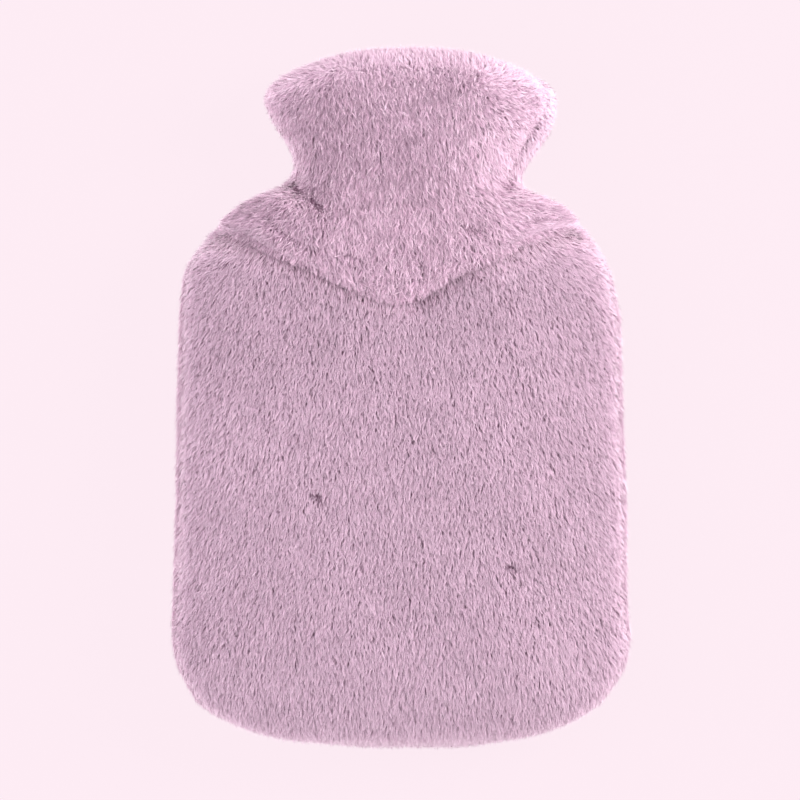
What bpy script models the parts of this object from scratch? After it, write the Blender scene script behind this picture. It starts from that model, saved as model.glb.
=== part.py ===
"""Plush cover for a hot water bottle, lying on its back, as it looks when it is filled.

Three cut pieces of plush, each one solid whose outer face is the level of the pile's tips:
the back panel with the back of the collar, the lower front panel, and the yoke, whose V-shaped
flap lies over the lower front panel and whose upper end is the front of the collar.
The cover is hollow and its collar is open, so a bottle could go in.

Frame: metres, +X to the right across the front, +Y from the bottom seam to the collar, +Z up
out of the front. The origin is under the middle of the cover, on the surface it lies on.
The sizes below are in millimetres.

Every piece is a flat grid of cloth that is laid on one common form. A place on the form is
given by a station t, which runs from the bottom seam up to the rim of the collar, and by a
share u of the way across a panel, from its left seam to its right one.
"""
from collections import namedtuple
from math import pi

import bmesh
import bpy
import numpy as np

MM = 0.001
OBJECT = "hot_water_bottle_cover"

# The form over the pile. Left and right are the distances of the two sides from the middle line,
# back and front the heights of the lowest and highest line of the section. A back below 0 is
# pressed flat by the surface that the cover lies on. The seam columns say how many degrees the
# side seam sits above the widest line, on the front.
Section = namedtuple("Section", "y left right back front left_seam right_seam")
SECTIONS = (
    Section(y=146, left=69.0, right=77.0, back=1.0, front=60.0, left_seam=0, right_seam=16),
    Section(y=131, left=61.0, right=74.5, back=2.0, front=58.0, left_seam=5, right_seam=26),
    Section(y=122, left=53.5, right=67.5, back=3.5, front=54.5, left_seam=10, right_seam=28),
    Section(y=113, left=52.3, right=61.5, back=4.5, front=52.0, left_seam=9, right_seam=20),
    Section(y=107, left=53.0, right=58.0, back=4.0, front=51.0, left_seam=4, right_seam=8),
    Section(y=103, left=66.0, right=60.0, back=3.0, front=51.0, left_seam=0, right_seam=2),
    Section(y=99, left=73.0, right=71.5, back=2.0, front=51.5, left_seam=0, right_seam=0),
    Section(y=95, left=79.0, right=81.5, back=1.0, front=52.0, left_seam=0, right_seam=0),
    Section(y=87, left=87.5, right=87.0, back=0.0, front=53.0, left_seam=0, right_seam=0),
    Section(y=76, left=98.5, right=97.5, back=-2.0, front=54.5, left_seam=0, right_seam=0),
    Section(y=63, left=107.3, right=104.3, back=-4.0, front=55.5, left_seam=0, right_seam=0),
    Section(y=40, left=109.0, right=109.0, back=-4.0, front=57.0, left_seam=0, right_seam=0),
    Section(y=0, left=110.3, right=110.0, back=-4.0, front=58.0, left_seam=0, right_seam=0),
    Section(y=-50, left=110.8, right=112.0, back=-4.0, front=58.0, left_seam=0, right_seam=0),
    Section(y=-98, left=112.3, right=112.3, back=-4.0, front=57.0, left_seam=0, right_seam=0),
    Section(y=-118, left=112.8, right=114.0, back=-4.0, front=56.5, left_seam=0, right_seam=0),
    Section(y=-130, left=111.0, right=112.5, back=-4.0, front=56.0, left_seam=0, right_seam=0),
    Section(y=-140, left=105.8, right=107.3, back=-4.0, front=56.0, left_seam=0, right_seam=0),
    Section(y=-149, left=99.8, right=100.0, back=-4.0, front=56.0, left_seam=0, right_seam=0),
)
EASE = 5.0                # the table is read as a soft curve, averaged this far up and down
EASE_STEPS = np.linspace(-1, 1, 9)
SEAM_HEIGHT = 0.46        # the widest line, as a share of the height from back to front
SQUARENESS = 0.84         # power of the sine and cosine round a section: 1 is an ellipse

# The collar's rim is turned in over a rounded lip.
CREST = 145.0             # station where the lip starts to turn in
LIP = 12.5                # radius of the lip, over the pile
LIP_ARC = LIP * pi / 2
RIM = CREST + LIP_ARC     # station of the rim's edge
ARCH = 14.0               # how much higher the rim is at its middle than at its sides
ARCH_START = 112.0        # station where the arch begins
ARCH_POWER = 2.5

# The bottom closes as a rounded end on a bowed seam.
END_START = -100.0        # station where the end begins
END_SIDE = 49.0           # how far the end reaches at the sides
END_BOW = 22.5            # how much further it reaches at its middle
BOW_POWER = 3.8
END_ARC = 75.0            # run of cloth round the end
BOTTOM = END_START - END_ARC
BOTTOM_EDGE = BOTTOM + 0.15            # station where the panels stop at the bottom seam

# The plush: backing and pile together, and where the pile is drawn in or pressed.
PANEL_WALL = 9.0
YOKE_WALL = 8.0
LEAST_WALL = 3.0          # where the pile is pressed the hardest
COLLAR_THIN = 1.5         # the pile is that much shorter on the collar
THIN_START, THIN_FULL = 100.0, 130.0   # stations over which it gets shorter
SEAM_DRAW, SEAM_REACH = 2.5, 7.0       # how far a seam draws the pile in, and over what reach
SEAM_GAP = 0.3            # each panel stops this short of the seam line
SEAM_LIFT = 0.2           # and the front pieces stand this much above it
HEM_DRAW, HEM_REACH = 3.0, 6.0         # the same at the flap's edge
TUCKED_DRAW, TUCKED_REACH = 1.0, 5.0   # and at the edge tucked under it

# The flap: its edge across the front, as x and y, and the panel edge tucked under it.
FlapPoint = namedtuple("FlapPoint", "x y")
FLAP_EDGE = (
    FlapPoint(x=-90, y=86), FlapPoint(x=-76, y=81), FlapPoint(x=-62, y=74), FlapPoint(x=-43, y=66),
    FlapPoint(x=-20, y=55), FlapPoint(x=-9, y=50.5), FlapPoint(x=4, y=50), FlapPoint(x=15, y=55),
    FlapPoint(x=26, y=63), FlapPoint(x=44, y=70), FlapPoint(x=61, y=79), FlapPoint(x=76, y=84.5),
    FlapPoint(x=88, y=86),
)
FLAP_EASE = 5.0
SHOULDER = 86.0           # station where the flap's edge meets the side seams
FLAP_HIGH, FLAP_LOW = 90.0, 42.0       # stations between which the flap's edge is looked for
FLAP_STEPS = 121
FLAP_RISE = 3.3           # how far the flap stands above the form
FLAP_GAP = 0.9            # between the flap and the panel below it
RISE_START, RISE_FULL = 0.015, 0.06    # shares of the way across, from a side seam
RISE_TOP, RISE_END = 88.0, 110.0       # stations over which the rise fades into the neck
TUCK_TOP = 86.0           # the tucked edge at its highest
TUCK_START, TUCK_FULL = 0.06, 0.2      # where the tucked edge leaves the flap's edge
TUCK_STEP = 0.4           # gap where the two edges meet end to end
PRESS_FULL, PRESS_START = 2.5, 11.0    # below the flap's edge the lower panel sinks over this run
HEM_RUN = 8.0             # the last stretch of the flap, where its edge rounds down

# Dimples and creases at the neck: both ends, radius and depth.
Dent = namedtuple("Dent", "x1 y1 x2 y2 radius depth")
DENTS = (
    Dent(x1=-50, y1=104, x2=-48, y2=101, radius=7, depth=4.0),
    Dent(x1=-42, y1=97, x2=-36, y2=93, radius=7, depth=4.0),
    Dent(x1=-65, y1=89, x2=-47, y2=74, radius=6, depth=2.5),
    Dent(x1=32, y1=84, x2=40, y2=86, radius=5, depth=1.5),
)

# Rows of cloth between the marks down each panel.
COLUMNS = 28
LIP_ROWS, NECK_ROWS, HEM_ROWS = 4, 11, 2
TUCK_ROWS, PRESS_ROWS, BODY_ROWS = 4, 2, 24
EDGE_SHARE = 0.5          # how much the columns crowd towards the seams
FRONT, BACK = 1, -1
ROUND_STEPS = 121         # points read round a section to space the columns evenly
RUN_STEPS = 21            # and down a line of the cloth to space the rows
LEVEL_SEAM = 100.0        # below this station the side seam follows the widest line
SMALL = 0.02              # step for a normal, in millimetres of station and in radians / 10
TINY = 1e-12

MAUVE = (0.578, 0.376, 0.515, 1.0)
MAUVE_LIGHT = (0.605, 0.400, 0.530, 1.0)


def soft_step(value, start, full):
    """Rise from 0 at start to 1 at full, with soft ends."""
    share = np.clip((value - start) / (full - start), 0, 1)
    return share * share * (3 - 2 * share)


def eased(y, xs, values, reach):
    """Read a table as a soft curve: straight lines averaged over a reach up and down."""
    steps = [np.interp(y + reach * step, xs, values) for step in EASE_STEPS]
    return sum(steps) / len(steps)


def column(y, name):
    rows = sorted(SECTIONS, key=lambda row: row.y)
    return eased(y, [row.y for row in rows], [getattr(row, name) for row in rows], EASE)


def flap_edge(x):
    return eased(x, [point.x for point in FLAP_EDGE], [point.y for point in FLAP_EDGE], FLAP_EASE)


def power(value, exponent):
    return np.sign(value) * np.abs(value) ** exponent


def both_round(side, end):
    """Height as a share where a rounded side meets the rounded end: full only if both are."""
    return side * end / np.sqrt(side ** 2 + end ** 2 - (side * end) ** 2 + TINY)


def form(t, angle):
    """Point of the form at station t, at an angle round its section: 0 right, pi/2 front."""
    lip = np.clip((t - CREST) / LIP_ARC, 0, 1) * pi / 2
    end = np.clip((END_START - t) / END_ARC, 0, 1) * pi / 2
    reach = power(np.sin(end), SQUARENESS)
    side_y = np.clip(t, END_START, CREST) - END_SIDE * reach
    turned = LIP * (1 - np.cos(lip))
    closed = power(np.cos(end), SQUARENESS)
    left, right = column(side_y, "left") - turned, column(side_y, "right") - turned
    back, front = column(side_y, "back"), column(side_y, "front")
    seam = back + SEAM_HEIGHT * (front - back)
    across, up = power(np.cos(angle), SQUARENESS), power(np.sin(angle), SQUARENESS)
    depth = np.where(up > 0, front - seam, seam - back) - turned
    arch = ARCH * soft_step(t, ARCH_START, CREST) * (1 - np.abs(across) ** ARCH_POWER)
    bow = END_BOW * reach * (1 - np.abs(across) ** BOW_POWER)
    x = (right - left) / 2 + (right + left) / 2 * across
    y = side_y + LIP * np.sin(lip) + arch - bow
    z = np.maximum(seam + depth * np.sign(up) * both_round(np.abs(up), closed), 0)
    return np.stack(np.broadcast_arrays(x, y, z), axis=-1)


def seam_angles(t, side):
    """Angles of a panel's left and right seams at station t."""
    left = pi - np.radians(column(np.clip(t, END_START, CREST), "left_seam"))
    right = np.radians(column(np.clip(t, END_START, CREST), "right_seam"))
    return left, (right if side == FRONT else right + 2 * pi)


def round_section(t, u, side):
    """Angle at share u of the run of cloth across a panel, and that run's length."""
    left, right = seam_angles(t, side)
    angles = left + (right - left) * np.linspace(0, 1, ROUND_STEPS)
    points = form(np.full(ROUND_STEPS, t), angles)
    runs = np.concatenate([[0], np.cumsum(np.linalg.norm(np.diff(points, axis=0), axis=1))])
    margin = SEAM_GAP / runs[-1]
    share = margin + (1 - 2 * margin) * u
    return np.interp(share * runs[-1], runs, angles), runs[-1]


def normal(t, angle):
    """Outward normal of the form."""
    t = np.clip(t, BOTTOM + 2 * SMALL, RIM - 2 * SMALL)
    along = form(t + SMALL, angle) - form(t - SMALL, angle)
    around = form(t, angle + SMALL / 10) - form(t, angle - SMALL / 10)
    out = np.cross(along, around)
    return out / np.linalg.norm(out, axis=-1, keepdims=True)


def dents(x, y):
    """How far the pile is pressed in by the dimples and creases."""
    depth = 0
    for dent in DENTS:
        run = np.array([dent.x2 - dent.x1, dent.y2 - dent.y1])
        share = np.clip(((x - dent.x1) * run[0] + (y - dent.y1) * run[1]) / (run @ run), 0, 1)
        gap = np.hypot(x - dent.x1 - share * run[0], y - dent.y1 - share * run[1])
        depth = depth + dent.depth * np.exp(-(gap / dent.radius) ** 2)
    return depth


def falloff(distance, reach):
    return np.exp(-(distance / reach) ** 2)


def flap_station(u):
    """Station of the flap's edge at share u across the front."""
    stations = np.linspace(FLAP_HIGH, FLAP_LOW, FLAP_STEPS)
    edge = []
    for share in np.atleast_1d(u):
        x = np.array([form(t, round_section(t, share, FRONT)[0])[0] for t in stations])
        edge.append(np.interp(0, flap_edge(x) - stations, stations))
    return np.array(edge)


def tuck_station(u, flap):
    """Station of the lower panel's top edge: at the flap's edge, then up under the flap."""
    from_seam = np.minimum(u, 1 - u)
    hidden = soft_step(from_seam, TUCK_START, TUCK_FULL)
    return flap - TUCK_STEP + (TUCK_TOP - flap) * hidden


def rise(t, u):
    """How far the flap stands above the form."""
    from_seam = np.minimum(u, 1 - u)
    fade = 1 - soft_step(t, RISE_TOP, RISE_END)
    return FLAP_RISE * soft_step(from_seam, RISE_START, RISE_FULL) * fade


def seam_draw(t, u, length):
    """How far the pile is drawn in beside the side seams and the bottom seam."""
    distance = np.minimum(np.minimum(u, 1 - u) * length, t - BOTTOM)
    return SEAM_DRAW * falloff(distance, SEAM_REACH)


def yoke_lay(t, u, length, point, flap):
    lift = rise(t, u)
    draw = seam_draw(t, u, length) + HEM_DRAW * falloff(t - flap, HEM_REACH)
    return lift, draw + dents(point[0], point[1])


def front_lay(t, u, length, point, flap):
    pressed = YOKE_WALL + FLAP_GAP - rise(t, u)
    near = soft_step(t, flap - PRESS_START, flap - PRESS_FULL)
    hidden = soft_step(np.minimum(u, 1 - u), RISE_START, TUCK_START)
    edge = TUCKED_DRAW * falloff(t - tuck_station(u, flap), TUCKED_REACH) * hidden
    return 0.0, np.maximum(seam_draw(t, u, length), pressed * near * hidden + edge)


def back_lay(t, u, length, point, flap):
    return 0.0, seam_draw(t, u, length)


def crowded(count):
    """Shares from 0 to 1 in count steps, closer together near both ends."""
    even = np.linspace(0, 1, count + 1)
    return (1 - EDGE_SHARE) * even + EDGE_SHARE * (1 - np.cos(pi * even)) / 2


def even_run(u, start, stop, count, side):
    """Stations from start to stop down one line of the cloth, in count even runs."""
    stations = np.linspace(start, stop, RUN_STEPS)
    line = np.array([form(t, round_section(t, u, side)[0]) for t in stations])
    runs = np.concatenate([[0], np.cumsum(np.linalg.norm(np.diff(line, axis=0), axis=1))])
    return np.interp(np.linspace(0, runs[-1], count + 1), runs, stations)


def ladder(shares, side, marks, counts):
    """Stations of every row and column: count even runs from each mark to the next."""
    columns = []
    for place, u in enumerate(shares):
        levels = [mark[place] for mark in marks]
        runs = [even_run(u, start, stop, count, side)[1:]
                for start, stop, count in zip(levels, levels[1:], counts)]
        columns.append(np.concatenate([levels[:1]] + runs))
    return np.stack(columns, axis=1)


def level_seam(points, out, stations):
    """Make the wall stand level along the widest line: square to the seam, seen from above."""
    first = int(np.argmax(stations[:, 0] < LEVEL_SEAM))
    rows = [(row, 0) for row in range(first, len(points))]
    rows += [(len(points) - 1, place) for place in range(1, COLUMNS)]
    rows += [(row, COLUMNS) for row in range(len(points) - 1, first - 1, -1)]
    places = tuple(np.array(rows).T)
    run = np.gradient(points[places][:, :2], axis=0)
    level = np.stack([run[:, 1], -run[:, 0], 0 * run[:, 0]], axis=1)
    out[places] = level / np.linalg.norm(level, axis=1, keepdims=True)


def plush(name, colour):
    material = bpy.data.materials.new(name)
    material.use_nodes = True
    shader = material.node_tree.nodes["Principled BSDF"]
    shader.inputs["Base Color"].default_value = colour
    shader.inputs["Roughness"].default_value = 0.95
    shader.inputs["Metallic"].default_value = 0.0
    material.diffuse_color = colour
    return material


def panel(name, side, marks, counts, wall, lay, colour, collection, parent):
    """One cut piece: a grid of backing cloth laid on the form, with its pile as a Solidify."""
    shares = crowded(COLUMNS)
    flap = flap_station(shares)
    stations = ladder(shares, side, marks(shares, flap), counts)
    points, out, draw = np.empty(stations.shape + (3,)), np.empty(stations.shape + (3,)), stations * 0
    for row, place in np.ndindex(stations.shape):
        t = stations[row, place]
        angle, length = round_section(t, shares[place], side)
        point, out[row, place] = form(t, angle), normal(t, angle)
        point[2] += SEAM_LIFT * (side == FRONT)
        lift, draw[row, place] = lay(t, shares[place], length, point, flap[place])
        points[row, place] = point + out[row, place] * lift
    if stations[-1, 0] < END_START:
        level_seam(points, out, stations)
    depth = wall - COLLAR_THIN * soft_step(stations, THIN_START, THIN_FULL)
    backing = (points - out * depth[..., None]) * MM
    pile = np.maximum(depth - draw, LEAST_WALL) / wall

    grid = bmesh.new()
    bmesh.ops.create_grid(grid, x_segments=COLUMNS, y_segments=len(stations) - 1, size=1)
    shares_of_pile = []
    for vertex in grid.verts:
        place = round((vertex.co.x + 1) / 2 * COLUMNS)
        row = round((1 - vertex.co.y) / 2 * (len(stations) - 1))
        vertex.co = backing[row, place]
        shares_of_pile.append(pile[row, place])
    if side == BACK:
        bmesh.ops.reverse_faces(grid, faces=grid.faces)
    mesh = bpy.data.meshes.new(name)
    grid.to_mesh(mesh)
    grid.free()
    mesh.shade_smooth()
    mesh.materials.append(plush(name + "_plush", colour))
    piece = bpy.data.objects.new(name, mesh)
    piece.parent = parent
    collection.objects.link(piece)
    group = piece.vertex_groups.new(name="pile")
    for index, share in enumerate(shares_of_pile):
        group.add([index], share, "REPLACE")
    solidify = piece.modifiers.new("pile", "SOLIDIFY")
    solidify.thickness = wall * MM
    solidify.offset = 1
    solidify.vertex_group = group.name
    return piece


def back_marks(u, flap):
    levels = (RIM, CREST, SHOULDER + HEM_RUN, SHOULDER, SHOULDER - PRESS_FULL,
              SHOULDER - PRESS_START, BOTTOM_EDGE)
    return [np.full_like(u, level) for level in levels]


def front_marks(u, flap):
    return [tuck_station(u, flap), flap - PRESS_FULL, flap - PRESS_START, np.full_like(u, BOTTOM_EDGE)]


def yoke_marks(u, flap):
    return [np.full_like(u, RIM), np.full_like(u, CREST), flap + HEM_RUN, flap]


def build():
    for old in list(bpy.data.objects):
        bpy.data.objects.remove(old)
    collection = bpy.data.collections.new(OBJECT)
    bpy.context.scene.collection.children.link(collection)
    cover = bpy.data.objects.new(OBJECT, None)
    collection.objects.link(cover)
    panel("back_panel", BACK, back_marks, (LIP_ROWS, NECK_ROWS, HEM_ROWS, 1, PRESS_ROWS, BODY_ROWS),
          PANEL_WALL, back_lay, MAUVE, collection, cover)
    panel("front_panel", FRONT, front_marks, (TUCK_ROWS, PRESS_ROWS, BODY_ROWS),
          PANEL_WALL, front_lay, MAUVE, collection, cover)
    panel("yoke_collar", FRONT, yoke_marks, (LIP_ROWS, NECK_ROWS, HEM_ROWS),
          YOKE_WALL, yoke_lay, MAUVE_LIGHT, collection, cover)


build()
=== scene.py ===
"""Looks of a plush cover for a hot water bottle, lying on its back: its three cut pieces of
cloth and their long pile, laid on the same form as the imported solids. The cloth's sizes are in
millimetres up to its meshes; meshes, camera, lamps and floor are in metres. +X is right, +Y up
to the collar and +Z out of the front.
"""

from collections import namedtuple
from math import pi

import bpy
import numpy as np
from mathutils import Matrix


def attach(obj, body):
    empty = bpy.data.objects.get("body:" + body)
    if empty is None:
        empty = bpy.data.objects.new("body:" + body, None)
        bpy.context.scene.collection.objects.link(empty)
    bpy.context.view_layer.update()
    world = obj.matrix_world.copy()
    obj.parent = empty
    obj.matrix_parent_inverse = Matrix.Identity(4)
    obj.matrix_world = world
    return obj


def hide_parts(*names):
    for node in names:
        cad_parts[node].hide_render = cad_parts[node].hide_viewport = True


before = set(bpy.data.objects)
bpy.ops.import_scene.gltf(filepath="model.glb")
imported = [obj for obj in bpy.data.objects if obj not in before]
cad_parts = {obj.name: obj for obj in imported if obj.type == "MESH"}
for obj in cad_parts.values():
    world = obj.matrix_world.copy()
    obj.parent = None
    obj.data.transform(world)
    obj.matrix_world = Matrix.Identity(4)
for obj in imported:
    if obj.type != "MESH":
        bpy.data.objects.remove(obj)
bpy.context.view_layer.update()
MM = 0.001

# ---------------------------------------------------------------- camera, floor and light
VIEW_ACROSS = 0.392       # metres seen across the picture at the height of the outline
OUTLINE_HEIGHT = 0.025
CAMERA_HEIGHT = 3.0
CAMERA_SHIFT = -0.0005    # towards the foot
SENSOR = 36.0             # millimetres, with the lens

scene = bpy.context.scene
scene.view_settings.view_transform = "Standard"
camera = bpy.data.objects.new("overhead_camera", bpy.data.cameras.new("overhead_camera"))
camera.location = (0, CAMERA_SHIFT, CAMERA_HEIGHT)
camera.data.sensor_width = SENSOR
camera.data.lens = SENSOR * (CAMERA_HEIGHT - OUTLINE_HEIGHT) / VIEW_ACROSS
scene.collection.objects.link(camera)
scene.camera = camera

Lamp = namedtuple("Lamp", "name x y z size energy colour")
LAMPS = (
    Lamp("key_light", 1.25, 0.45, 0.95, 0.7, 31.0, (1.0, 0.965, 0.975)),
    Lamp("fill_light", -0.9, -0.1, 0.9, 0.9, 12.5, (0.985, 0.975, 1.0)),
    Lamp("low_light", 0.3, -0.9, 0.8, 0.8, 1.5, (1.0, 0.97, 0.98)),
)
HORIZON, ZENITH = (1.0, 0.93, 0.965, 1.0), (0.21, 0.195, 0.204, 1.0)
ZENITH_FROM = 0.7         # height on the sky's ball from which it is all zenith
WORLD_STRENGTH = 1.5
FLOOR_SIZE, FLOOR_DROP = 6.0, 0.0004
FLOOR_COLOUR, FLOOR_ROUGHNESS = (0.02, 0.0175, 0.0185, 1.0), 0.9
FLOOR_GLOW, FLOOR_GLOW_STRENGTH = (0.983, 0.838, 0.905, 1.0), 0.971

# ---------------------------------------------------------------- the form, as in the solids
# Widths to both sides and heights of back and front at y, and how far each side seam is turned to
# the front, in degrees.
Section = namedtuple("Section", "y left right back front left_seam right_seam")
SECTIONS = (
    Section(y=146, left=69.0, right=77.0, back=1.0, front=60.0, left_seam=0, right_seam=16),
    Section(y=131, left=61.0, right=74.5, back=2.0, front=58.0, left_seam=5, right_seam=26),
    Section(y=122, left=53.5, right=67.5, back=3.5, front=54.5, left_seam=10, right_seam=28),
    Section(y=113, left=52.3, right=61.5, back=4.5, front=52.0, left_seam=9, right_seam=20),
    Section(y=107, left=53.0, right=58.0, back=4.0, front=51.0, left_seam=4, right_seam=8),
    Section(y=103, left=66.0, right=60.0, back=3.0, front=51.0, left_seam=0, right_seam=2),
    Section(y=99, left=73.0, right=71.5, back=2.0, front=51.5, left_seam=0, right_seam=0),
    Section(y=95, left=79.0, right=81.5, back=1.0, front=52.0, left_seam=0, right_seam=0),
    Section(y=87, left=87.5, right=87.0, back=0.0, front=53.0, left_seam=0, right_seam=0),
    Section(y=76, left=98.5, right=97.5, back=-2.0, front=54.5, left_seam=0, right_seam=0),
    Section(y=63, left=107.3, right=104.3, back=-4.0, front=55.5, left_seam=0, right_seam=0),
    Section(y=40, left=109.0, right=109.0, back=-4.0, front=57.0, left_seam=0, right_seam=0),
    Section(y=0, left=110.3, right=110.0, back=-4.0, front=58.0, left_seam=0, right_seam=0),
    Section(y=-50, left=110.8, right=112.0, back=-4.0, front=58.0, left_seam=0, right_seam=0),
    Section(y=-98, left=112.3, right=112.3, back=-4.0, front=57.0, left_seam=0, right_seam=0),
    Section(y=-118, left=112.8, right=114.0, back=-4.0, front=56.5, left_seam=0, right_seam=0),
    Section(y=-130, left=111.0, right=112.5, back=-4.0, front=56.0, left_seam=0, right_seam=0),
    Section(y=-140, left=105.8, right=107.3, back=-4.0, front=56.0, left_seam=0, right_seam=0),
    Section(y=-149, left=99.8, right=100.0, back=-4.0, front=56.0, left_seam=0, right_seam=0),
)
EASE = 5.0                             # how far the sections blend into each other
EASE_STEPS = np.linspace(-1, 1, 9)
SEAM_HEIGHT, SQUARENESS = 0.46, 0.84   # share of the thickness, and the power of a section's arc
CREST, LIP = 145.0, 12.5               # where the rim starts to turn in, and the radius of its roll
LIP_ARC = LIP * pi / 2
RIM = CREST + LIP_ARC
ARCH, ARCH_START, ARCH_POWER = 14.0, 112.0, 2.5        # the rim stands higher in its middle
END_START, END_SIDE, END_BOW, BOW_POWER, END_ARC = -100.0, 49.0, 22.5, 3.8, 75.0
BOTTOM = END_START - END_ARC
BOTTOM_GAP = 0.04                      # the cloth ends this far short of the bottom seam's line
BOTTOM_EDGE = BOTTOM + BOTTOM_GAP
PANEL_WALL, YOKE_WALL, LEAST_WALL = 9.0, 8.0, 3.0      # backing and pile together
COLLAR_THIN, THIN_START, THIN_FULL = 1.5, 100.0, 130.0     # the walls get thinner over the collar
SEAM_DRAW, SEAM_REACH = 2.5, 7.0       # how far the pile is drawn in at a seam, and how far off
SEAM_GAP, SEAM_LIFT = 0.06, 0.06       # closer than the solids: no light shows through a seam
HEM_DRAW, HEM_REACH = 3.0, 6.0         # the same at the flap's hem
TUCKED_DRAW, TUCKED_REACH = 1.0, 5.0   # and at the pocket edge under the flap
FlapPoint = namedtuple("FlapPoint", "x y")
FLAP_EDGE = (
    FlapPoint(x=-90, y=86), FlapPoint(x=-76, y=81), FlapPoint(x=-62, y=74), FlapPoint(x=-43, y=66),
    FlapPoint(x=-20, y=55), FlapPoint(x=-9, y=50.5), FlapPoint(x=4, y=50), FlapPoint(x=15, y=55),
    FlapPoint(x=26, y=63), FlapPoint(x=44, y=70), FlapPoint(x=61, y=79), FlapPoint(x=76, y=84.5),
    FlapPoint(x=88, y=86),
)
FLAP_EASE = 5.0
SHOULDER, FLAP_HIGH, FLAP_LOW, FLAP_STEPS = 86.0, 90.0, 42.0, 121
FLAP_RISE, FLAP_GAP = 3.3, 0.9         # how far the flap stands up, and off the lower front
RISE_START, RISE_FULL = 0.015, 0.06    # shares of the width over which it rises from the seams
RISE_TOP, RISE_END = 88.0, 110.0       # stations over which that ends in the neck
TUCK_TOP, TUCK_START, TUCK_FULL, TUCK_STEP = 86.0, 0.06, 0.2, 0.4      # the pocket edge under it
PRESS_FULL, PRESS_START, HEM_RUN = 2.5, 11.0, 8.0      # where the lower front is pressed down
Dent = namedtuple("Dent", "x1 y1 x2 y2 radius depth")
DENTS = (
    Dent(x1=-50, y1=104, x2=-48, y2=101, radius=7, depth=4.0),
    Dent(x1=-42, y1=97, x2=-36, y2=93, radius=7, depth=4.0),
    Dent(x1=-65, y1=89, x2=-47, y2=74, radius=6, depth=2.5),
    Dent(x1=32, y1=84, x2=40, y2=86, radius=5, depth=1.5),
)
LEVEL_SEAM = 100.0
SMALL, TINY = 0.02, 1e-12
SMALL_TURN = SMALL / 10
LAST_CELL = 1.0001        # keeps what is read from a table inside its last cell
FRONT, BACK = 1, -1

# ---------------------------------------------------------------- how finely the cloth is made
COLUMNS = 64
EDGE_SHARE = 0.5
LIP_ROWS, NECK_ROWS, HEM_ROWS, SHOULDER_ROWS = 12, 36, 10, 1
TUCK_ROWS, PRESS_ROWS, BODY_ROWS = 6, 6, 64
TABLE_ROWS, TABLE_COLUMNS, ROUND_STEPS, RUN_STEPS = 420, 181, 241, 31
UNDER = 0.48              # how much of the pile's depth is its dense foot, the cloth's outer face
EVEN = np.linspace(0, 1, COLUMNS + 1)
CROWDED = (1 - EDGE_SHARE) * EVEN + EDGE_SHARE * (1 - np.cos(pi * EVEN)) / 2   # closer at the sides

# ---------------------------------------------------------------- the pile
# The nap parts along a ridge over the collar and runs away from it, then down and outwards.
RidgePoint = namedtuple("RidgePoint", "x y")
RIDGE = (
    RidgePoint(x=-27, y=160), RidgePoint(x=-5, y=158), RidgePoint(x=24.5, y=154),
    RidgePoint(x=37, y=153),
)
LEFT_FAN, RIGHT_FAN, BACK_FAN = 4.0, 10.5, 8.0         # degrees outwards at HALF_WIDTH
HALF_WIDTH = 100.0
FAN_LOW, FAN_HIGH = 35.0, 95.0         # where the body's nap turns into the collar's
SHOULDER_TURN = 26.0                   # degrees more on the shoulders
SHOULDER_Y, SHOULDER_SPAN = 88.0, 19.0
SHOULDER_START, SHOULDER_FULL = 28.0, 80.0
Whorl = namedtuple("Whorl", "x1 y1 x2 y2 radius share")
PILE_DENTS = (            # small marks where the pile is parted down to its foot, with painted shade in them
    Whorl(x1=-41, y1=-46, x2=-39, y2=-47, radius=1.8, share=0.75),
    Whorl(x1=53, y1=-80, x2=55, y2=-81, radius=1.8, share=0.85),
    Whorl(x1=-29, y1=74, x2=-17, y2=69, radius=1.6, share=0.4),
    Whorl(x1=30, y1=86, x2=40, y2=83, radius=1.8, share=0.45),
    Whorl(x1=9, y1=70, x2=11, y2=66, radius=1.6, share=0.35),
    Whorl(x1=-52, y1=106, x2=-49.5, y2=102, radius=1.8, share=1.4),
    Whorl(x1=-42.5, y1=97, x2=-38, y2=93.5, radius=1.8, share=1.4),
    Whorl(x1=67, y1=134, x2=51, y2=104, radius=3.4, share=0.45),
    Whorl(x1=-64, y1=89, x2=-48, y2=75, radius=2.0, share=0.2),
)
Brush = namedtuple("Brush", "x y radius tone")
PAINTED_LIGHT_AND_SHADE = (               # broad patches of painted light and shade, where the pile is painted lighter or darker
    Brush(x=-48, y=136, radius=24, tone=-0.32), Brush(x=-2, y=124, radius=30, tone=-0.28),
    Brush(x=48, y=117, radius=16, tone=0.52), Brush(x=-72, y=88, radius=17, tone=-0.38),
    Brush(x=24, y=150, radius=9, tone=-0.30), Brush(x=-90, y=-30, radius=40, tone=0.10),
    Brush(x=90, y=-120, radius=30, tone=0.08), Brush(x=-40, y=30, radius=16, tone=-0.12),
    Brush(x=8, y=110, radius=12, tone=-0.08), Brush(x=44, y=42, radius=11, tone=-0.14),
    Brush(x=13, y=48, radius=6, tone=-0.22), Brush(x=32, y=58, radius=7, tone=-0.26),
    Brush(x=66, y=131, radius=3.5, tone=-0.22), Brush(x=61, y=122, radius=3.5, tone=-0.34),
    Brush(x=56.5, y=113, radius=3.5, tone=-0.34), Brush(x=52, y=105, radius=3.5, tone=-0.22),
    Brush(x=86, y=88, radius=13, tone=-0.22), Brush(x=74, y=96, radius=11, tone=-0.40),
    Brush(x=-70, y=98, radius=9, tone=-0.24), Brush(x=-82, y=76, radius=7, tone=0.34),
    Brush(x=-69, y=69, radius=6, tone=0.28), Brush(x=52, y=67, radius=6, tone=0.20),
    Brush(x=64, y=73, radius=6, tone=0.30), Brush(x=78, y=79, radius=6, tone=0.34),
)
Fill = namedtuple("Fill", "x share under")
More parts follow.
